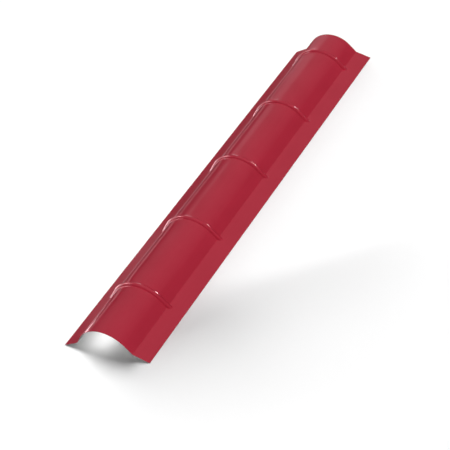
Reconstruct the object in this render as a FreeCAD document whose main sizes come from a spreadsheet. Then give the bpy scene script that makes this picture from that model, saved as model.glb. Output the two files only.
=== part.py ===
import FreeCAD, Part
import Sketcher
import os
from math import atan, cos, degrees, radians, sin, tan

# Half-round roof ridge cap, roll-formed from one painted steel sheet.
# X runs across the cap, Y along the ridge and Z up. The origin is on the floor, under the
# middle of the cap, which lies on the hemmed edges of its two flanges.

# Driving sizes, in millimetres and degrees: name, value, what it measures.
SIZES = (
    ("cap_length", 2000, "along the ridge, from cut end to cut end"),
    ("sheet_gauge", 0.5, "thickness of the painted sheet"),
    ("crown_radius", 120, "upper face of the round crown"),
    ("crown_half_angle", 53, "turn of the crown from its top to a straight side"),
    ("side_width", 42, "straight side, from the crown to the foot corner"),
    ("foot_radius", 6, "upper face of the bend between side and flange"),
    ("flange_width", 70, "flange, from the foot corner to its folded edge"),
    ("flange_slope", 22, "fall of the flange away from the crown"),
    ("hem_width", 10, "sheet folded back flat under the edge of the flange"),
    ("rib_first", 260, "from the near end to the middle of the first rib"),
    ("rib_pitch", 400, "from one rib to the next"),
    ("rib_width", 26, "rib, from foot to foot along the ridge"),
    ("rib_height", 9, "rib, above the crown"),
    ("rib_foot_radius", 4, "upper face of the bend where a rib leaves the crown"),
)

# A rib is carried on under the flange by this many times what brings its top below it.
RIB_OVERRUN = 1.2

# Expressions that several sketches share.
FOOT_TURN = "(Sizes.crown_half_angle - Sizes.flange_slope)"
FOOT_SETBACK = f"Sizes.foot_radius * tan({FOOT_TURN} / 2)"
CROWN_TURN = "2 * Sizes.crown_half_angle * 1 deg"
EDGE_HEIGHT = "Sizes.sheet_gauge * (1 + cos(Sizes.flange_slope))"
HEM_END_HEIGHT = "Sizes.sheet_gauge + Sizes.hem_width * sin(Sizes.flange_slope)"
RIB_PAST_FOOT = f"{RIB_OVERRUN} * Sizes.rib_height / tan({FOOT_TURN})"
RIB_RUN = f"(Sizes.side_width + {RIB_PAST_FOOT})"
RIB_END_HEIGHT = (f"({EDGE_HEIGHT} + Sizes.flange_width * sin(Sizes.flange_slope)"
                  f" - {RIB_PAST_FOOT} * sin(Sizes.crown_half_angle))")
RIB_COUNT = "floor((Sizes.cap_length - Sizes.rib_first - Sizes.rib_width) / Sizes.rib_pitch) + 1"
RIB_BENDS = "((Sizes.rib_width / 2)^2 + Sizes.rib_height^2) / (2 * Sizes.rib_height)"

# Where a constraint takes hold of a line or an arc, and the sketch's own point and axis.
START, END, MIDDLE = range(1, 4)
SKETCH_POINT, UPRIGHT_AXIS = range(-1, -3, -1)

doc = FreeCAD.newDocument("ridge_cap")
sheet = doc.addObject("Spreadsheet::Sheet", "Sizes")


def fill_sheet():
    for row, (name, value, remark) in enumerate(SIZES, start=1):
        sheet.set(f"A{row}", name)
        sheet.set(f"B{row}", str(value))
        sheet.set(f"C{row}", remark)
        sheet.setAlias(f"B{row}", name)
    doc.recompute()


def size(name):
    return float(sheet.get(name))


def origin_feature(body, role):
    return next(feature for feature in body.Origin.OriginFeatures if feature.Role == role)


def new_sketch(body, name, role):
    sketch = body.newObject("Sketcher::SketchObject", name)
    sketch.AttachmentSupport = [(origin_feature(body, role), "")]
    sketch.MapMode = "FlatFace"
    return sketch


def point(x, y):
    return FreeCAD.Vector(x, y, 0)


def mirrored(place):
    return point(-place.x, place.y)


def step(start, angle, length):
    """The point that lies a length away from start, at an angle in degrees."""
    return start + point(cos(radians(angle)), sin(radians(angle))) * length


def add_line(sketch, start, end):
    return sketch.addGeometry(Part.LineSegment(start, end))


def add_arc(sketch, centre, radius, first_angle, last_angle):
    circle = Part.Circle(centre, FreeCAD.Vector(0, 0, 1), radius)
    return sketch.addGeometry(Part.ArcOfCircle(circle, radians(first_angle), radians(last_angle)))


def tie(sketch, kind, *where):
    return sketch.addConstraint(Sketcher.Constraint(kind, *where))


def set_size(sketch, name, expression, kind, *where):
    """A named dimension of the sketch that follows the sheet."""
    index = tie(sketch, kind, *where)
    sketch.renameConstraint(index, name)
    sketch.setExpression(f"Constraints.{name}", expression)


def crown_axis():
    """The crown's axis, seen in a section across the cap as it stands on its hems."""
    turn, slope = radians(size("crown_half_angle")), radians(size("flange_slope"))
    edge_height = size("sheet_gauge") * (1 + cos(slope))
    foot_height = edge_height + size("flange_width") * sin(slope)
    return point(0, foot_height + size("side_width") * sin(turn) - size("crown_radius") * cos(turn))


def add_skin(sketch, depth, depth_text, edge_cut, edge_cut_text, edge_height):
    """One face of the sheet across the cap, a depth under its upper face, from flange to flange.

    The flanges stop edge_cut short of their folded edges, and edge_height is the expression for
    the height of those ends. Returns the two flange lines and the right one's outer end.
    """
    turn, slope = size("crown_half_angle"), size("flange_slope")
    setback = size("foot_radius") * tan(radians(turn - slope) / 2)
    crown_radius = size("crown_radius") - depth
    foot_radius = size("foot_radius") + depth
    side = size("side_width") - setback
    flange = size("flange_width") - setback - edge_cut

    crown_end = step(crown_axis(), 90 - turn, crown_radius)
    side_end = step(crown_end, -turn, side)
    foot_centre = step(side_end, 90 - turn, foot_radius)
    flange_start = step(foot_centre, 270 - slope, foot_radius)
    flange_end = step(flange_start, -slope, flange)

    flange_right = add_line(sketch, flange_end, flange_start)
    foot_right = add_arc(sketch, foot_centre, foot_radius, 270 - turn, 270 - slope)
    side_right = add_line(sketch, side_end, crown_end)
    crown = add_arc(sketch, crown_axis(), crown_radius, 90 - turn, 90 + turn)
    side_left = add_line(sketch, mirrored(crown_end), mirrored(side_end))
    foot_left = add_arc(sketch, mirrored(foot_centre), foot_radius, 270 + slope, 270 + turn)
    flange_left = add_line(sketch, mirrored(flange_start), mirrored(flange_end))

    tie(sketch, "Tangent", flange_right, END, foot_right, END)
    tie(sketch, "Tangent", foot_right, START, side_right, START)
    tie(sketch, "Tangent", side_right, END, crown, START)
    tie(sketch, "Tangent", crown, END, side_left, START)
    tie(sketch, "Tangent", side_left, END, foot_left, END)
    tie(sketch, "Tangent", foot_left, START, flange_left, START)
    tie(sketch, "PointOnObject", crown, MIDDLE, UPRIGHT_AXIS)
    tie(sketch, "Equal", side_right, side_left)
    tie(sketch, "Equal", foot_right, foot_left)
    tie(sketch, "Equal", flange_right, flange_left)
    tie(sketch, "Symmetric", flange_right, START, flange_left, END, UPRIGHT_AXIS)

    set_size(sketch, "crown_radius", f"Sizes.crown_radius - {depth_text}", "Radius", crown, crown_radius)
    set_size(sketch, "crown_turn", CROWN_TURN, "Angle", crown, radians(2 * turn))
    set_size(sketch, "side", f"Sizes.side_width - {FOOT_SETBACK}", "Distance", side_right, side)
    set_size(sketch, "foot_radius", f"Sizes.foot_radius + {depth_text}", "Radius", foot_right, foot_radius)
    set_size(sketch, "foot_turn", f"{FOOT_TURN} * 1 deg", "Angle", foot_right, radians(turn - slope))
    set_size(sketch, "flange", f"Sizes.flange_width - {FOOT_SETBACK} - {edge_cut_text}",
             "Distance", flange_right, flange)
    set_size(sketch, "edge_height", edge_height,
             "DistanceY", SKETCH_POINT, START, flange_right, START, flange_end.y)
    return flange_right, flange_left, flange_end


def draw_outer_section(body):
    """Everything under the sheet's upper face, down to a line between the two hems."""
    gauge, slope, hem = size("sheet_gauge"), size("flange_slope"), size("hem_width")
    sketch = new_sketch(body, "outer_section", "XZ_Plane")
    flange_right, flange_left, edge = add_skin(sketch, 0, "0", 0, "0", EDGE_HEIGHT)

    nose_centre = step(edge, 270 - slope, gauge)
    hem_fold = step(edge, 270 - slope, 2 * gauge)
    hem_end = step(hem_fold, 180 - slope, hem)
    nose_right = add_arc(sketch, nose_centre, gauge, -90 - slope, 90 - slope)
    hem_right = add_line(sketch, hem_fold, hem_end)
    underside = add_line(sketch, hem_end, mirrored(hem_end))
    hem_left = add_line(sketch, mirrored(hem_end), mirrored(hem_fold))
    nose_left = add_arc(sketch, mirrored(nose_centre), gauge, 90 + slope, 270 + slope)

    tie(sketch, "Tangent", nose_right, END, flange_right, START)
    tie(sketch, "Tangent", nose_right, START, hem_right, START)
    tie(sketch, "Coincident", hem_right, END, underside, START)
    tie(sketch, "Coincident", underside, END, hem_left, START)
    tie(sketch, "Tangent", hem_left, END, nose_left, END)
    tie(sketch, "Tangent", nose_left, START, flange_left, END)
    tie(sketch, "Parallel", hem_right, flange_right)
    tie(sketch, "Parallel", hem_left, flange_left)
    tie(sketch, "Equal", nose_right, nose_left)
    tie(sketch, "Equal", hem_right, hem_left)
    set_size(sketch, "hem_nose", "Sizes.sheet_gauge", "Radius", nose_right, gauge)
    set_size(sketch, "hem", "Sizes.hem_width", "Distance", hem_right, hem)
    return sketch


def draw_inner_section(body):
    """The open space under the sheet's lower face, between the free edges of the hems."""
    gauge, slope, hem = size("sheet_gauge"), size("flange_slope"), size("hem_width")
    sketch = new_sketch(body, "inner_section", "XZ_Plane")
    flange_right, flange_left, edge = add_skin(
        sketch, gauge, "Sizes.sheet_gauge", hem, "Sizes.hem_width", HEM_END_HEIGHT)

    hem_end = step(edge, 270 - slope, gauge)
    hem_edge_right = add_line(sketch, edge, hem_end)
    underside = add_line(sketch, hem_end, mirrored(hem_end))
    hem_edge_left = add_line(sketch, mirrored(hem_end), mirrored(edge))

    tie(sketch, "Coincident", flange_right, START, hem_edge_right, START)
    tie(sketch, "Coincident", hem_edge_right, END, underside, START)
    tie(sketch, "Coincident", underside, END, hem_edge_left, START)
    tie(sketch, "Coincident", hem_edge_left, END, flange_left, END)
    tie(sketch, "Perpendicular", hem_edge_right, flange_right)
    tie(sketch, "Perpendicular", hem_edge_left, flange_left)
    tie(sketch, "Equal", hem_edge_right, hem_edge_left)
    set_size(sketch, "hem_edge", "Sizes.sheet_gauge", "Distance", hem_edge_right, gauge)
    return sketch


def draw_rib_line(body):
    """The line that the first rib follows: up one side, over the crown and down the other."""
    turn, radius = size("crown_half_angle"), size("crown_radius")
    past_foot = RIB_OVERRUN * size("rib_height") / tan(radians(turn - size("flange_slope")))
    run = size("side_width") + past_foot
    sketch = new_sketch(body, "rib_line", "XZ_Plane")
    sketch.setExpression("AttachmentOffset.Base.z", "Sizes.cap_length / 2 - Sizes.rib_first")

    crown_end = step(crown_axis(), 90 - turn, radius)
    run_end = step(crown_end, -turn, run)
    right = add_line(sketch, run_end, crown_end)
    crown = add_arc(sketch, crown_axis(), radius, 90 - turn, 90 + turn)
    left = add_line(sketch, mirrored(crown_end), mirrored(run_end))

    tie(sketch, "Tangent", right, END, crown, START)
    tie(sketch, "Tangent", crown, END, left, START)
    tie(sketch, "PointOnObject", crown, MIDDLE, UPRIGHT_AXIS)
    tie(sketch, "Symmetric", right, START, left, END, UPRIGHT_AXIS)
    set_size(sketch, "crown_radius", "Sizes.crown_radius", "Radius", crown, radius)
    set_size(sketch, "crown_turn", CROWN_TURN, "Angle", crown, radians(2 * turn))
    set_size(sketch, "run", RIB_RUN, "Distance", right, run)
    set_size(sketch, "end_height", RIB_END_HEIGHT,
             "DistanceY", SKETCH_POINT, START, right, START, run_end.y)
    return sketch


def draw_rib_section(body, name, depth, depth_text):
    """A rib cut along the ridge, a depth under its upper face: a round top between two foot bends.

    It stands square to the rib's line at that line's right end, one crown radius from its base.
    """
    half, height = size("rib_width") / 2, size("rib_height")
    skin = size("crown_radius") - depth
    foot_radius = size("rib_foot_radius") + depth
    top_radius = (half ** 2 + height ** 2) / (2 * height) - foot_radius
    lean = 2 * degrees(atan(height / half))
    root_depth = height / 3

    sketch = new_sketch(body, name, "YZ_Plane")
    square_to_side = FreeCAD.Rotation(FreeCAD.Vector(1, 0, 0), size("crown_half_angle"))
    sketch.AttachmentOffset = FreeCAD.Placement(FreeCAD.Vector(0, 0, 0), square_to_side)
    sketch.setExpression("AttachmentOffset.Rotation.Angle", "Sizes.crown_half_angle * 1 deg")
    sketch.setExpression("AttachmentOffset.Base.x", "Sizes.rib_first - Sizes.cap_length / 2")
    sketch.setExpression("AttachmentOffset.Base.y",
                         f"{RIB_END_HEIGHT} - Sizes.crown_radius * cos(Sizes.crown_half_angle)")
    sketch.setExpression("AttachmentOffset.Base.z", f"{RIB_RUN} * cos(Sizes.crown_half_angle)")

    near_foot = add_arc(sketch, point(-half, skin + foot_radius), foot_radius, 270, 270 + lean)
    top = add_arc(sketch, point(0, skin + height - top_radius), top_radius, 90 - lean, 90 + lean)
    far_foot = add_arc(sketch, point(half, skin + foot_radius), foot_radius, 270 - lean, 270)
    far_wall = add_line(sketch, point(half, skin), point(half, skin - root_depth))
    root = add_line(sketch, point(half, skin - root_depth), point(-half, skin - root_depth))
    near_wall = add_line(sketch, point(-half, skin - root_depth), point(-half, skin))

    tie(sketch, "Tangent", near_foot, END, top, END)
    tie(sketch, "Tangent", top, START, far_foot, START)
    tie(sketch, "Perpendicular", far_foot, END, far_wall, START)
    tie(sketch, "Perpendicular", near_wall, END, near_foot, START)
    tie(sketch, "Coincident", far_wall, END, root, START)
    tie(sketch, "Coincident", root, END, near_wall, START)
    tie(sketch, "Vertical", far_wall)
    tie(sketch, "Vertical", near_wall)
    tie(sketch, "Horizontal", root)
    tie(sketch, "Equal", near_foot, far_foot)
    tie(sketch, "Symmetric", near_foot, START, far_foot, END, UPRIGHT_AXIS)
    set_size(sketch, "rib_width", "Sizes.rib_width",
             "DistanceX", near_foot, START, far_foot, END, 2 * half)
    set_size(sketch, "foot_radius", f"Sizes.rib_foot_radius + {depth_text}", "Radius", near_foot, foot_radius)
    set_size(sketch, "top_radius", f"{RIB_BENDS} - Sizes.rib_foot_radius - {depth_text}",
             "Radius", top, top_radius)
    set_size(sketch, "root_depth", "Sizes.rib_height / 3", "Distance", far_wall, root_depth)
    set_size(sketch, "skin", f"Sizes.crown_radius - {depth_text}",
             "DistanceY", SKETCH_POINT, START, far_foot, END, skin)
    return sketch


def add_feature(body, kind, name, profile):
    feature = body.newObject(f"PartDesign::{kind}", name)
    feature.Profile = profile
    return feature


def repeat_along_ridge(body, name, feature):
    """As many of the feature as the cap's length holds at the rib pitch."""
    pattern = body.newObject("PartDesign::LinearPattern", name)
    pattern.Originals = [feature]
    pattern.Direction = (origin_feature(body, "Y_Axis"), [""])
    pattern.Mode = "Spacing"
    pattern.setExpression("Offset", "Sizes.rib_pitch")
    pattern.setExpression("Occurrences", RIB_COUNT)
    body.Tip = pattern
    doc.recompute()
    return pattern


def make_ridge_cap():
    """The filled outer form with its ribs, hollowed by the same form one sheet thickness lower."""
    body = doc.addObject("PartDesign::Body", "ridge_cap")

    blank = add_feature(body, "Pad", "blank", draw_outer_section(body))
    blank.SideType = "Symmetric"
    blank.setExpression("Length", "Sizes.cap_length")
    doc.recompute()

    rib_line = draw_rib_line(body)
    doc.recompute()
    rib = add_feature(body, "AdditivePipe", "rib", draw_rib_section(body, "rib_section", 0, "0"))
    rib.Spine = rib_line
    doc.recompute()
    repeat_along_ridge(body, "ribs", rib)

    hollow = add_feature(body, "Pocket", "hollow", draw_inner_section(body))
    hollow.Type = "ThroughAll"
    hollow.SideType = "Symmetric"
    doc.recompute()

    gauge = size("sheet_gauge")
    rib_hollow_section = draw_rib_section(body, "rib_hollow_section", gauge, "Sizes.sheet_gauge")
    rib_hollow = add_feature(body, "SubtractivePipe", "rib_hollow", rib_hollow_section)
    rib_hollow.Spine = rib_line
    doc.recompute()
    repeat_along_ridge(body, "rib_hollows", rib_hollow)
    return body


def check_document(bodies):
    for item in doc.Objects:
        if "Invalid" in item.State or "Error" in item.State:
            raise RuntimeError(f"{item.Label} did not build")
    for body in bodies:
        if body.Shape.isNull() or not body.Shape.isValid() or len(body.Shape.Solids) != 1:
            raise RuntimeError(f"{body.Label} is not one sound solid")


fill_sheet()
bodies = [make_ridge_cap()]
check_document(bodies)

os.makedirs("parts", exist_ok=True)
for body in bodies:
    body.Shape.exportStep(f"parts/{body.Label}.step")
    box = body.Shape.optimalBoundingBox(False)
    print(f"{body.Label}: {body.Shape.Volume:.0f} mm3, box {box}, {len(body.Shape.Faces)} faces")
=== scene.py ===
"""Looks of a half-round roof ridge cap in ruby red coil-painted steel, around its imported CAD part.

X runs across the cap, Y along the ridge and Z up, in metres. The cap lies on the floor at Z = 0
on the hemmed edges of its two flanges.
"""
from math import atan, cos, pi, radians, sin, sqrt, tan

import bpy
from mathutils import Matrix, Quaternion, Vector


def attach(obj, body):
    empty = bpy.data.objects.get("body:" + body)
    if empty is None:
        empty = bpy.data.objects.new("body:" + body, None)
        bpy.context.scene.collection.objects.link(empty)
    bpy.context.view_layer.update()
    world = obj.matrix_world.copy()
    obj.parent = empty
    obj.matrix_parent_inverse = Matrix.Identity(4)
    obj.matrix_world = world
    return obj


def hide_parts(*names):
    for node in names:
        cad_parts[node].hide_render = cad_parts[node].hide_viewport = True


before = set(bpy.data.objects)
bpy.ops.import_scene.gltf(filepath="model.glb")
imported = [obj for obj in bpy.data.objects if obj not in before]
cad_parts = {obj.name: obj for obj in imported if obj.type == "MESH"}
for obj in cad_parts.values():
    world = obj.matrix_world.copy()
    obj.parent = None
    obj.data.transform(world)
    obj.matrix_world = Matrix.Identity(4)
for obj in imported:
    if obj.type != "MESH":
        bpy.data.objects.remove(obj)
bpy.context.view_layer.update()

# The formed sheet.
CAP_LENGTH = 2.0
SHEET_GAUGE = 0.0005
CROWN_RADIUS = 0.120
CROWN_HALF_ANGLE = radians(53)
SIDE_WIDTH = 0.042
FOOT_RADIUS = 0.006
FLANGE_WIDTH = 0.070
FLANGE_SLOPE = radians(22)
HEM_WIDTH = 0.010

# The pressed ribs.
RIB_COUNT = 5
RIB_FIRST = 0.260
RIB_PITCH = 0.400
RIB_WIDTH = 0.026
RIB_HEIGHT = 0.009
RIB_FOOT_RADIUS = 0.004
RIB_LEAN = 2 * atan(RIB_HEIGHT / (RIB_WIDTH / 2))

# How finely the sheet is divided.
CROWN_STEPS = 96
SIDE_STEPS = 5
FOOT_STEPS = 8
FLANGE_STEPS = 7
HEM_STEPS = 3
NOSE_STEPS = 8
RIB_TOP_STEPS = 14
RIB_FOOT_STEPS = 6
PLAIN_STEP = 0.05

# Where the crown's axis and the flanges' upper edges stand.
EDGE_HEIGHT = SHEET_GAUGE * (1 + cos(FLANGE_SLOPE))
FOOT_CORNER_HEIGHT = EDGE_HEIGHT + FLANGE_WIDTH * sin(FLANGE_SLOPE)
CROWN_AXIS_HEIGHT = (FOOT_CORNER_HEIGHT + SIDE_WIDTH * sin(CROWN_HALF_ANGLE)
                     - CROWN_RADIUS * cos(CROWN_HALF_ANGLE))
FOOT_TURN = CROWN_HALF_ANGLE - FLANGE_SLOPE
FOOT_SETBACK = FOOT_RADIUS * tan(FOOT_TURN / 2)

# Colours, as linear red, green and blue.
RUBY_RED = (0.345, 0.0165, 0.035, 1)
RUBY_RED_DEEP = (0.318, 0.0145, 0.031, 1)
BACK_COAT_GREY = (0.40, 0.40, 0.385, 1)
BACK_COAT_SHADE = (0.33, 0.33, 0.32, 1)
ZINC_BRIGHT = (0.62, 0.63, 0.64, 1)
ZINC_DULL = (0.42, 0.43, 0.44, 1)
FLOOR_WHITE = (0.85, 0.85, 0.85, 1)
WHITE = (1, 1, 1, 1)
LAMP_ROSE = (1.0, 0.66, 0.71)

# The camera's stand.
CAMERA_AIM = Vector((-0.0921, 0.0, -0.2142))
CAMERA_DISTANCE = 5.6533
CAMERA_HEADING = radians(37.505)
CAMERA_DIP = radians(36.278)
CAMERA_ROLL = radians(-15.832)
CAMERA_LENS = 107.90
CAMERA_SENSOR = 36.0

# The finishes: how far the coil line draws its streaks out along the ridge, the range that
# noise seldom leaves, and the bend from which an edge shows as sharp.
STREAKS_DRAWN_OUT = (1, 0.02, 1)
NOISE_LOW, NOISE_HIGH = 0.3, 0.7
SHARP_FROM = radians(40)

# The white room: its floor, its weak fill and what its walls and ceiling show in gloss.
FLOOR_REACH = 60.0
FLOOR_GLOW = 0.08
FILL_STRENGTH = 0.08
LOW_GLOSS, HIGH_GLOSS = 0.17, 4.0
CEILING_STARTS = 0.2

# The lamps. Azimuths and elevations are in degrees.
SOFTBOX_DISTANCE = 14.0
FLOOR_LIGHT_AZIMUTH, FLOOR_LIGHT_ELEVATION = -50, 50
LEVEL_RIGHT, UP, DOWN = Vector((1, 0, 0)), Vector((0, 0, 1)), Vector((0, 0, -1))

# The shade card's outline, along and across the shadow that it casts on the floor.
CARD_OUTLINE = ((0, -0.13), (0.27, -0.13), (0.27, -0.06), (1.0, -0.025),
                (1.0, 0.025), (0.27, 0.06), (0.27, 0.13), (0, 0.13))
CARD_SHADOW_START = Vector((0.2, -0.94, 0))
CARD_SHADOW_HEADING = radians(39)
CARD_DISTANCE = 0.68


def toward(azimuth, elevation):
    """The direction at an azimuth, turned from +Y towards +X, and an elevation, in degrees."""
    a, e = radians(azimuth), radians(elevation)
    return Vector((sin(a) * cos(e), cos(a) * cos(e), sin(e)))


def even(first, last, steps):
    """The values from first to last in even steps, both included."""
    return [first + (last - first) * i / steps for i in range(steps + 1)]


def rib_middles():
    """Where the ribs' middles stand along the ridge, from its middle."""
    return [RIB_FIRST + RIB_PITCH * i - CAP_LENGTH / 2 for i in range(RIB_COUNT)]


def rib_radii(depth):
    """Radius of a rib's round top and of its foot bends, a depth under the sheet's upper face."""
    half = RIB_WIDTH / 2
    foot = RIB_FOOT_RADIUS + depth
    return (half ** 2 + RIB_HEIGHT ** 2) / (2 * RIB_HEIGHT) - foot, foot


def rib_rise(y, depth):
    """How far a rib lifts the sheet at a place along the ridge."""
    half = RIB_WIDTH / 2
    away = min(abs(y - middle) for middle in rib_middles())
    top, foot = rib_radii(depth)
    if away >= half:
        return 0.0
    if away <= top * sin(RIB_LEAN):
        return RIB_HEIGHT - top + sqrt(top ** 2 - away ** 2)
    return foot - sqrt(foot ** 2 - (half - away) ** 2)


def rib_stations(middle):
    """Places along the ridge over one rib, at even turns of its bends."""
    top, foot = rib_radii(0)
    half = RIB_WIDTH / 2
    turns = even(0, RIB_LEAN, RIB_FOOT_STEPS)
    near = [middle - half + foot * sin(a) for a in turns]
    crest = [middle + top * sin(a) for a in even(-RIB_LEAN, RIB_LEAN, RIB_TOP_STEPS)]
    far = [middle + half - foot * sin(a) for a in reversed(turns)]
    return near + crest[1:-1] + far


def ridge_stations():
    """Every place along the ridge where the sheet's section is laid out."""
    places = [-CAP_LENGTH / 2]
    for middle in rib_middles():
        over_rib = rib_stations(middle)
        steps = round((over_rib[0] - places[-1]) / PLAIN_STEP)
        places += even(places[-1], over_rib[0], steps)[1:-1] + over_rib
    steps = round((CAP_LENGTH / 2 - places[-1]) / PLAIN_STEP)
    return places + even(places[-1], CAP_LENGTH / 2, steps)[1:]


def step(start, angle, length):
    """The point a length away from start in the section, at an angle from level."""
    return start + Vector((cos(angle), sin(angle))) * length


def stretch(start, end, steps):
    """Points along a straight run, without its first one."""
    return [start.lerp(end, share) for share in even(0, 1, steps)[1:]]


def bend(centre, radius, first, last, steps):
    """Points round a bend, without its first one."""
    return [step(centre, angle, radius) for angle in even(first, last, steps)[1:]]


def edge_corner():
    """The outer end of the right flange's upper face."""
    foot_x = CROWN_RADIUS * sin(CROWN_HALF_ANGLE) + SIDE_WIDTH * cos(CROWN_HALF_ANGLE)
    return Vector((foot_x + FLANGE_WIDTH * cos(FLANGE_SLOPE), EDGE_HEIGHT))


def half_face(rise, depth):
    """The right half of one face of the sheet in section, from the top to where the hem ends."""
    up = pi / 2
    axis = Vector((0, CROWN_AXIS_HEIGHT))
    radius = CROWN_RADIUS - depth + rise
    foot_radius = FOOT_RADIUS + depth
    side = SIDE_WIDTH + rise / tan(FOOT_TURN) - FOOT_SETBACK
    crown_end = step(axis, up - CROWN_HALF_ANGLE, radius)
    side_end = step(crown_end, -CROWN_HALF_ANGLE, side)
    foot_centre = step(side_end, up - CROWN_HALF_ANGLE, foot_radius)
    hem_line = step(step(edge_corner(), pi - FLANGE_SLOPE, HEM_WIDTH), -up - FLANGE_SLOPE, depth)

    points = [step(axis, up, radius)]
    points += bend(axis, radius, up, up - CROWN_HALF_ANGLE, CROWN_STEPS // 2)
    points += stretch(crown_end, side_end, SIDE_STEPS)
    points += bend(foot_centre, foot_radius, -up - CROWN_HALF_ANGLE, -up - FLANGE_SLOPE, FOOT_STEPS)
    points += stretch(points[-1], hem_line, FLANGE_STEPS)
    return points


def half_hem():
    """The right hem in section: out along the flange, round the nose and back underneath."""
    up = pi / 2
    edge = edge_corner()
    nose_centre = step(edge, -up - FLANGE_SLOPE, SHEET_GAUGE)
    out = stretch(step(edge, pi - FLANGE_SLOPE, HEM_WIDTH), edge, HEM_STEPS)
    nose = bend(nose_centre, SHEET_GAUGE, up - FLANGE_SLOPE, -up - FLANGE_SLOPE, NOSE_STEPS)
    back = stretch(nose[-1], step(nose[-1], pi - FLANGE_SLOPE, HEM_WIDTH), HEM_STEPS)
    return out + nose + back


def mirrored(points):
    """The same points on the left half of the section."""
    return [Vector((-point.x, point.y)) for point in points]


def section(rise_above, rise_below):
    """The sheet's whole outline in section, as its upper run and its lower run.

    The upper run starts under the left hem and ends under the right one, and the lower run
    follows the lower face between the two hems.
    """
    upper = half_face(rise_above, 0)
    lower = half_face(rise_below, SHEET_GAUGE)
    hem = half_hem()
    upper_run = mirrored(reversed(hem)) + mirrored(reversed(upper[1:])) + upper + hem
    lower_run = mirrored(reversed(lower[1:])) + lower
    return upper_run, lower_run


PAINTED, BACK_COATED, CUT = range(3)


def formed_sheet():
    """Corners and faces of the sheet, with the finish of each face."""
    corners, faces, finishes = [], [], []
    hem_points = len(half_hem())
    stations = ridge_stations()
    for y in stations:
        upper, lower = section(rib_rise(y, 0), rib_rise(y, SHEET_GAUGE))
        corners += [(point.x, y, point.y) for point in upper + lower]
    upper_count, lower_count = len(upper), len(lower)
    row = upper_count + lower_count

    def strip(first, second, finish):
        """Faces along the whole ridge between two neighbouring points of the section."""
        for i in range(len(stations) - 1):
            near, far = row * i, row * (i + 1)
            faces.append((near + first, near + second, far + second, far + first))
            finishes.append(finish)

    for i in range(upper_count - 1):
        strip(i, i + 1, PAINTED)
    for i in range(upper_count, row - 1):
        strip(i + 1, i, BACK_COATED)
    strip(upper_count, 0, CUT)
    strip(upper_count - 1, row - 1, CUT)

    def end_faces(start, turned):
        """The cut sheet at one end of the cap."""
        quads = []
        for i in range(lower_count - 1):
            above, below = hem_points + i, upper_count + i
            quads.append((above, below, below + 1, above + 1))
        for last in (hem_points, upper_count - 1):
            first = last - hem_points
            for i in range(hem_points // 2):
                quads.append((first + i, first + i + 1, last - i - 1, last - i))
        for quad in quads:
            ring = list(dict.fromkeys(start + corner for corner in quad))
            faces.append(tuple(reversed(ring)) if turned else tuple(ring))
            finishes.append(CUT)

    end_faces(0, False)
    end_faces(row * (len(stations) - 1), True)
    return corners, faces, finishes


def add_node(tree, kind, **values):
    """A new shader node with its settings."""
    node = tree.nodes.new(kind)
    for name, value in values.items():
        setattr(node, name, value)
    return node


def set_inputs(node, **values):
    """Sets a node's sockets by their names, written with underscores."""
    for name, value in values.items():
        node.inputs[name.replace("_", " ").title()].default_value = value


def new_group(name, inputs, outputs):
    """A shader node group with named sockets, its input node and its output node."""
    group = bpy.data.node_groups.new(name, "ShaderNodeTree")
    for socket, kind in inputs:
        group.interface.new_socket(socket, in_out="INPUT", socket_type=kind)
    for socket, kind in outputs:
        group.interface.new_socket(socket, in_out="OUTPUT", socket_type=kind)
    return group, group.nodes.new("NodeGroupInput"), group.nodes.new("NodeGroupOutput")


def make_roll_streaks():
    """Faint streaks that the coil line leaves along the sheet, broken up by soft clouds."""
    group, given, result = new_group(
        "roll_streaks",
        [("Position", "NodeSocketVector"), ("Streaks Per Metre", "NodeSocketFloat"),
         ("Cloud Share", "NodeSocketFloat")],
        [("Streaks", "NodeSocketFloat")])
    drawn_out = add_node(group, "ShaderNodeVectorMath", operation="MULTIPLY")
    drawn_out.inputs[1].default_value = STREAKS_DRAWN_OUT
    streaks = add_node(group, "ShaderNodeTexNoise")
    set_inputs(streaks, detail=4.0, roughness=0.6)
    clouds = add_node(group, "ShaderNodeTexNoise")
    set_inputs(clouds, scale=7.0, detail=3.0, roughness=0.5)
    blend = add_node(group, "ShaderNodeMix", data_type="FLOAT")
    group.links.new(given.outputs["Position"], drawn_out.inputs[0])
    group.links.new(drawn_out.outputs[0], streaks.inputs["Vector"])
    group.links.new(given.outputs["Streaks Per Metre"], streaks.inputs["Scale"])
    group.links.new(given.outputs["Position"], clouds.inputs["Vector"])
    group.links.new(given.outputs["Cloud Share"], blend.inputs["Factor"])
    group.links.new(streaks.outputs["Fac"], blend.inputs["A"])
    group.links.new(clouds.outputs["Fac"], blend.inputs["B"])
    group.links.new(blend.outputs["Result"], result.inputs["Streaks"])
    return group


def make_paint_skin():
    """The fine pebbled skin of rolled-on paint, from a coarse peel and a finer grain."""
    group, given, result = new_group(
        "paint_skin",
        [("Position", "NodeSocketVector"), ("Peel Per Metre", "NodeSocketFloat"),
         ("Grain Per Metre", "NodeSocketFloat"), ("Grain Share", "NodeSocketFloat")],
        [("Height", "NodeSocketFloat")])
    peel = add_node(group, "ShaderNodeTexNoise")
    set_inputs(peel, detail=1.0, roughness=0.5)
    grain = add_node(group, "ShaderNodeTexNoise")
    set_inputs(grain, detail=2.0, roughness=0.5)
    blend = add_node(group, "ShaderNodeMix", data_type="FLOAT")
    for texture, rate in ((peel, "Peel Per Metre"), (grain, "Grain Per Metre")):
        group.links.new(given.outputs["Position"], texture.inputs["Vector"])
        group.links.new(given.outputs[rate], texture.inputs["Scale"])
    group.links.new(given.outputs["Grain Share"], blend.inputs["Factor"])
    group.links.new(peel.outputs["Fac"], blend.inputs["A"])
    group.links.new(grain.outputs["Fac"], blend.inputs["B"])
    group.links.new(blend.outputs["Result"], result.inputs["Height"])
    return group


roll_streaks = make_roll_streaks()
paint_skin = make_paint_skin()


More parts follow.
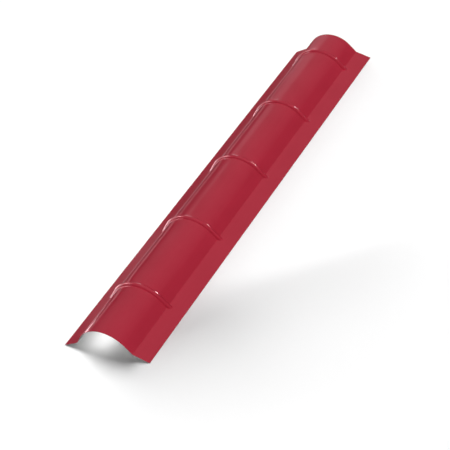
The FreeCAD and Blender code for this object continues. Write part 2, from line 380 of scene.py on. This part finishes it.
def new_material(name):
    """A material, its node tree and its shader."""
    material = bpy.data.materials.new(name)
    material.use_nodes = True
    tree = material.node_tree
    return material, tree, tree.nodes["Principled BSDF"]


def place_group(tree, group, position, **values):
    """A shared effect placed in a material, with its values."""
    node = add_node(tree, "ShaderNodeGroup", node_tree=group)
    tree.links.new(position, node.inputs["Position"])
    set_inputs(node, **values)
    return node


def spread(tree, value, at_low, at_high):
    """A varying value from 0 to 1 carried over to a range of its own."""
    node = add_node(tree, "ShaderNodeMapRange")
    set_inputs(node, from_min=NOISE_LOW, from_max=NOISE_HIGH, to_min=at_low, to_max=at_high)
    tree.links.new(value, node.inputs["Value"])
    return node.outputs["Result"]


def vary(tree, shader, socket, value, at_low, at_high):
    """Lets a varying value lead one of a shader's sockets between two levels."""
    tree.links.new(spread(tree, value, at_low, at_high), shader.inputs[socket])


def two_tone(tree, shader, value, at_low, at_high):
    """Paints a shader between two near tones, led by a varying value."""
    node = add_node(tree, "ShaderNodeMix", data_type="RGBA")
    tree.links.new(spread(tree, value, 0, 1), node.inputs["Factor"])
    # The node has an A, a B and a Result for each kind of value; these are the colour ones.
    node.inputs[6].default_value = at_low
    node.inputs[7].default_value = at_high
    tree.links.new(node.outputs[2], shader.inputs["Base Color"])


def skin_bump(tree, shader, height, depth, strength):
    """Lets a height field in metres show in a shader's surface."""
    node = add_node(tree, "ShaderNodeBump")
    set_inputs(node, strength=strength, distance=depth)
    tree.links.new(height, node.inputs["Height"])
    tree.links.new(node.outputs["Normal"], shader.inputs["Normal"])


def make_ruby_paint():
    """Ruby red polyester coil paint with a soft gloss."""
    material, tree, shader = new_material("ruby_red_coil_paint")
    position = add_node(tree, "ShaderNodeTexCoord").outputs["Object"]
    streaks = place_group(tree, roll_streaks, position, streaks_per_metre=260.0, cloud_share=0.55)
    skin = place_group(tree, paint_skin, position, peel_per_metre=420.0, grain_per_metre=1800.0,
                       grain_share=0.35)
    two_tone(tree, shader, streaks.outputs["Streaks"], at_low=RUBY_RED_DEEP, at_high=RUBY_RED)
    vary(tree, shader, "Roughness", streaks.outputs["Streaks"], at_low=0.40, at_high=0.32)
    vary(tree, shader, "Coat Weight", streaks.outputs["Streaks"], at_low=0.38, at_high=0.46)
    shader.inputs["Specular IOR Level"].default_value = 0.0
    shader.inputs["Coat Roughness"].default_value = 0.14
    shader.inputs["Coat IOR"].default_value = 1.25
    skin_bump(tree, shader, skin.outputs["Height"], depth=0.00004, strength=0.5)
    return material


def make_back_coat():
    """Thin pale grey primer on the sheet's back."""
    material, tree, shader = new_material("grey_back_coat")
    position = add_node(tree, "ShaderNodeTexCoord").outputs["Object"]
    streaks = place_group(tree, roll_streaks, position, streaks_per_metre=180.0, cloud_share=0.35)
    skin = place_group(tree, paint_skin, position, peel_per_metre=700.0, grain_per_metre=2600.0,
                       grain_share=0.5)
    two_tone(tree, shader, streaks.outputs["Streaks"], at_low=BACK_COAT_SHADE,
             at_high=BACK_COAT_GREY)
    vary(tree, shader, "Roughness", streaks.outputs["Streaks"], at_low=0.62, at_high=0.5)
    shader.inputs["Specular IOR Level"].default_value = 0.3
    skin_bump(tree, shader, skin.outputs["Height"], depth=0.00003, strength=0.6)
    return material


def make_cut_edge():
    """Sheared steel with its zinc drawn over the edge."""
    material, tree, shader = new_material("sheared_zinc_edge")
    position = add_node(tree, "ShaderNodeTexCoord").outputs["Object"]
    streaks = place_group(tree, roll_streaks, position, streaks_per_metre=900.0, cloud_share=0.3)
    two_tone(tree, shader, streaks.outputs["Streaks"], at_low=ZINC_DULL, at_high=ZINC_BRIGHT)
    vary(tree, shader, "Roughness", streaks.outputs["Streaks"], at_low=0.55, at_high=0.38)
    shader.inputs["Metallic"].default_value = 1.0
    return material


def make_cap():
    """The formed sheet with its three finishes, in place of the CAD part."""
    corners, faces, finishes = formed_sheet()
    mesh = bpy.data.meshes.new("ridge_cap_sheet")
    mesh.from_pydata(corners, [], faces)
    for material in (make_ruby_paint(), make_back_coat(), make_cut_edge()):
        mesh.materials.append(material)
    mesh.polygons.foreach_set("material_index", finishes)
    mesh.polygons.foreach_set("use_smooth", [True] * len(faces))
    mesh.set_sharp_from_angle(angle=SHARP_FROM)
    mesh.update()
    cap = bpy.data.objects.new("ridge_cap_sheet", mesh)
    bpy.context.scene.collection.objects.link(cap)
    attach(cap, "root")
    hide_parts("ridge_cap")
    return cap


def seen_directly(tree):
    """1 for a ray from the camera, a reflection or a clear view through, and 0 for other rays."""
    path = add_node(tree, "ShaderNodeLightPath")
    total = path.outputs["Is Camera Ray"]
    for name in ("Is Glossy Ray", "Is Transmission Ray"):
        either = add_node(tree, "ShaderNodeMath", operation="MAXIMUM")
        tree.links.new(total, either.inputs[0])
        tree.links.new(path.outputs[name], either.inputs[1])
        total = either.outputs[0]
    return total


def make_floor():
    """A plain white floor that keeps the shadows and isn't mirrored in the paint."""
    material, tree, shader = new_material("plain_white_floor")
    shader.inputs["Base Color"].default_value = FLOOR_WHITE
    shader.inputs["Roughness"].default_value = 1.0
    shader.inputs["Specular IOR Level"].default_value = 0.0
    shader.inputs["Emission Color"].default_value = WHITE
    glow = add_node(tree, "ShaderNodeMath", operation="MULTIPLY")
    tree.links.new(seen_directly(tree), glow.inputs[0])
    glow.inputs[1].default_value = FLOOR_GLOW
    tree.links.new(glow.outputs[0], shader.inputs["Emission Strength"])
    mesh = bpy.data.meshes.new("floor")
    reach = FLOOR_REACH
    corners = [(-reach, -reach, 0), (reach, -reach, 0), (reach, reach, 0), (-reach, reach, 0)]
    mesh.from_pydata(corners, [], [range(len(corners))])
    mesh.materials.append(material)
    floor = bpy.data.objects.new("floor", mesh)
    bpy.context.scene.collection.objects.link(floor)
    floor.visible_glossy = False
    return floor


def make_surroundings():
    """A room that is white to the camera, lights weakly, and in gloss dims towards the floor."""
    world = bpy.data.worlds.new("white_room")
    world.use_nodes = True
    bpy.context.scene.world = world
    tree = world.node_tree
    background = tree.nodes["Background"]
    background.inputs["Color"].default_value = WHITE
    path = add_node(tree, "ShaderNodeLightPath")
    split = add_node(tree, "ShaderNodeSeparateXYZ")
    tree.links.new(add_node(tree, "ShaderNodeTexCoord").outputs["Generated"], split.inputs[0])
    ceiling = add_node(tree, "ShaderNodeMapRange")
    set_inputs(ceiling, from_min=CEILING_STARTS, to_min=LOW_GLOSS, to_max=HIGH_GLOSS)
    tree.links.new(split.outputs["Z"], ceiling.inputs["Value"])
    room = add_node(tree, "ShaderNodeMapRange")
    set_inputs(room, to_min=FILL_STRENGTH, to_max=1.0)
    tree.links.new(seen_directly(tree), room.inputs["Value"])
    level = add_node(tree, "ShaderNodeMix", data_type="FLOAT")
    tree.links.new(path.outputs["Is Glossy Ray"], level.inputs["Factor"])
    tree.links.new(room.outputs["Result"], level.inputs["A"])
    tree.links.new(ceiling.outputs["Result"], level.inputs["B"])
    tree.links.new(level.outputs["Result"], background.inputs["Strength"])


def aim(thing, direction):
    """Turns a lamp so that it shines against a direction."""
    thing.rotation_mode = "QUATERNION"
    thing.rotation_quaternion = (-direction).to_track_quat("-Z", "Y")


def group_of(name, things):
    """The things that one lamp lights, or that shade it."""
    group = bpy.data.collections.new(name)
    for thing in things:
        group.objects.link(thing)
    return group


def add_lamp(name, kind, lit=None):
    """A lamp that the camera doesn't see, for everything or for one thing alone."""
    lamp = bpy.data.lights.new(name, kind)
    thing = bpy.data.objects.new(name, lamp)
    bpy.context.scene.collection.objects.link(thing)
    thing.visible_camera = False
    if lit:
        thing.light_linking.receiver_collection = group_of(f"lit_by_{name}", [lit])
    return lamp, thing


def soft_sun(name, azimuth, elevation, strength, width, lit):
    """Even soft light on one thing; strength 1 lights a white card square to it to white."""
    lamp, thing = add_lamp(name, "SUN", lit)
    lamp.energy = strength * pi
    lamp.angle = radians(width)
    aim(thing, toward(azimuth, elevation))
    thing.visible_glossy = False
    return thing


def panel(name, place, facing, wide, high, brightness, lit=None):
    """A flat lit panel; brightness 1 shows as white in a mirror."""
    lamp, thing = add_lamp(name, "AREA", lit)
    lamp.shape = "RECTANGLE"
    lamp.size, lamp.size_y = wide, high
    lamp.energy = brightness * pi * wide * high
    thing.location = place
    aim(thing, -facing)
    return lamp, thing


def gloss_panel(name, place, facing, wide, high, brightness, turn=0):
    """A rose panel that shows only as gloss, turned about its middle."""
    lamp, thing = panel(name, place, facing, wide, high, brightness)
    lamp.color = LAMP_ROSE
    thing.rotation_quaternion @= Quaternion((0, 0, 1), radians(turn))
    thing.visible_diffuse = False


def softbox(name, azimuth, elevation, wide, high, brightness, turn=0):
    """A gloss panel far off, facing the cap."""
    direction = toward(azimuth, elevation)
    gloss_panel(name, direction * SOFTBOX_DISTANCE, -direction, wide, high, brightness, turn)


def make_shade_card():
    """A card out of view that shades the floor softly on the right of the near end."""
    mesh = bpy.data.meshes.new("shade_card")
    mesh.from_pydata([(along, across, 0) for along, across in CARD_OUTLINE], [],
                     [range(len(CARD_OUTLINE))])
    card = bpy.data.objects.new("shade_card", mesh)
    bpy.context.scene.collection.objects.link(card)
    floor_light = toward(FLOOR_LIGHT_AZIMUTH, FLOOR_LIGHT_ELEVATION)
    card.location = CARD_SHADOW_START + floor_light * CARD_DISTANCE
    card.rotation_euler.z = CARD_SHADOW_HEADING
    card.visible_camera = False
    card.visible_diffuse = False
    card.visible_glossy = False
    card.visible_transmission = False


def make_lights(cap, floor):
    """Light on the cap, light on the floor, and the panels that the paint mirrors."""
    # The shade card doesn't shade the cap.
    key = soft_sun("key_light", azimuth=120, elevation=66, strength=1.02, width=85, lit=cap)
    key.light_linking.blocker_collection = group_of("shades_key_light", [cap, floor])

    make_shade_card()
    soft_sun("floor_light", FLOOR_LIGHT_AZIMUTH, FLOOR_LIGHT_ELEVATION, strength=1.12, width=40,
             lit=floor)
    soft_sun("low_floor_light", azimuth=-62, elevation=18, strength=0.65, width=30, lit=floor)
    _, under = panel("under_light", Vector((-0.05, 0, 0.066)), DOWN, wide=0.08, high=1.97,
                     brightness=2.1, lit=floor)
    under.visible_glossy = False

    # Two thin lines along the left of the cap.
    gloss_panel("horizon_strip", Vector((-0.6, 0, 0.105)), LEVEL_RIGHT, wide=3.6, high=0.07,
                brightness=3.0)
    gloss_panel("floor_strip", Vector((-0.204, 0, 0.001)), UP, wide=0.028, high=2.4, brightness=2.6)

    # Highlights over the crown and on the left of each rib.
    softbox("back_panel", azimuth=-34, elevation=20, wide=3.9, high=7.8, brightness=1.9)
    softbox("near_strip", azimuth=-57, elevation=2.5, wide=1.8, high=1.8, brightness=1.0)
    softbox("far_strip", azimuth=-28, elevation=9, wide=2.6, high=3.0, brightness=20)
    softbox("left_wall", azimuth=-92, elevation=10, wide=13.5, high=19.0, brightness=15)
    softbox("left_panel", azimuth=-97, elevation=37, wide=5.4, high=4.8, brightness=60)
    softbox("low_left_panel", azimuth=-67, elevation=-14, wide=3.4, high=3.4, brightness=26)

    # A glint on the right of each rib, from nearly in line with the ridge, where the plain sheet
    # mirrors it only in very low views from the near end.
    softbox("end_panel", azimuth=5, elevation=2, wide=1.8, high=1.8, brightness=280, turn=-42)


def make_camera():
    """The camera's stand, lens and roll, as fitted to the photo."""
    lens = bpy.data.cameras.new("camera")
    lens.lens = CAMERA_LENS
    lens.sensor_width = CAMERA_SENSOR
    camera = bpy.data.objects.new("camera", lens)
    bpy.context.scene.collection.objects.link(camera)
    turn = (Matrix.Rotation(CAMERA_HEADING, 4, "Z") @ Matrix.Rotation(pi / 2 - CAMERA_DIP, 4, "X")
            @ Matrix.Rotation(CAMERA_ROLL, 4, "Z"))
    look = turn.to_3x3() @ Vector((0, 0, -1))
    camera.matrix_world = Matrix.Translation(CAMERA_AIM - look * CAMERA_DISTANCE) @ turn
    bpy.context.scene.camera = camera


cap = make_cap()
floor = make_floor()
make_surroundings()
make_lights(cap, floor)
make_camera()
bpy.context.scene.view_settings.view_transform = "Standard"
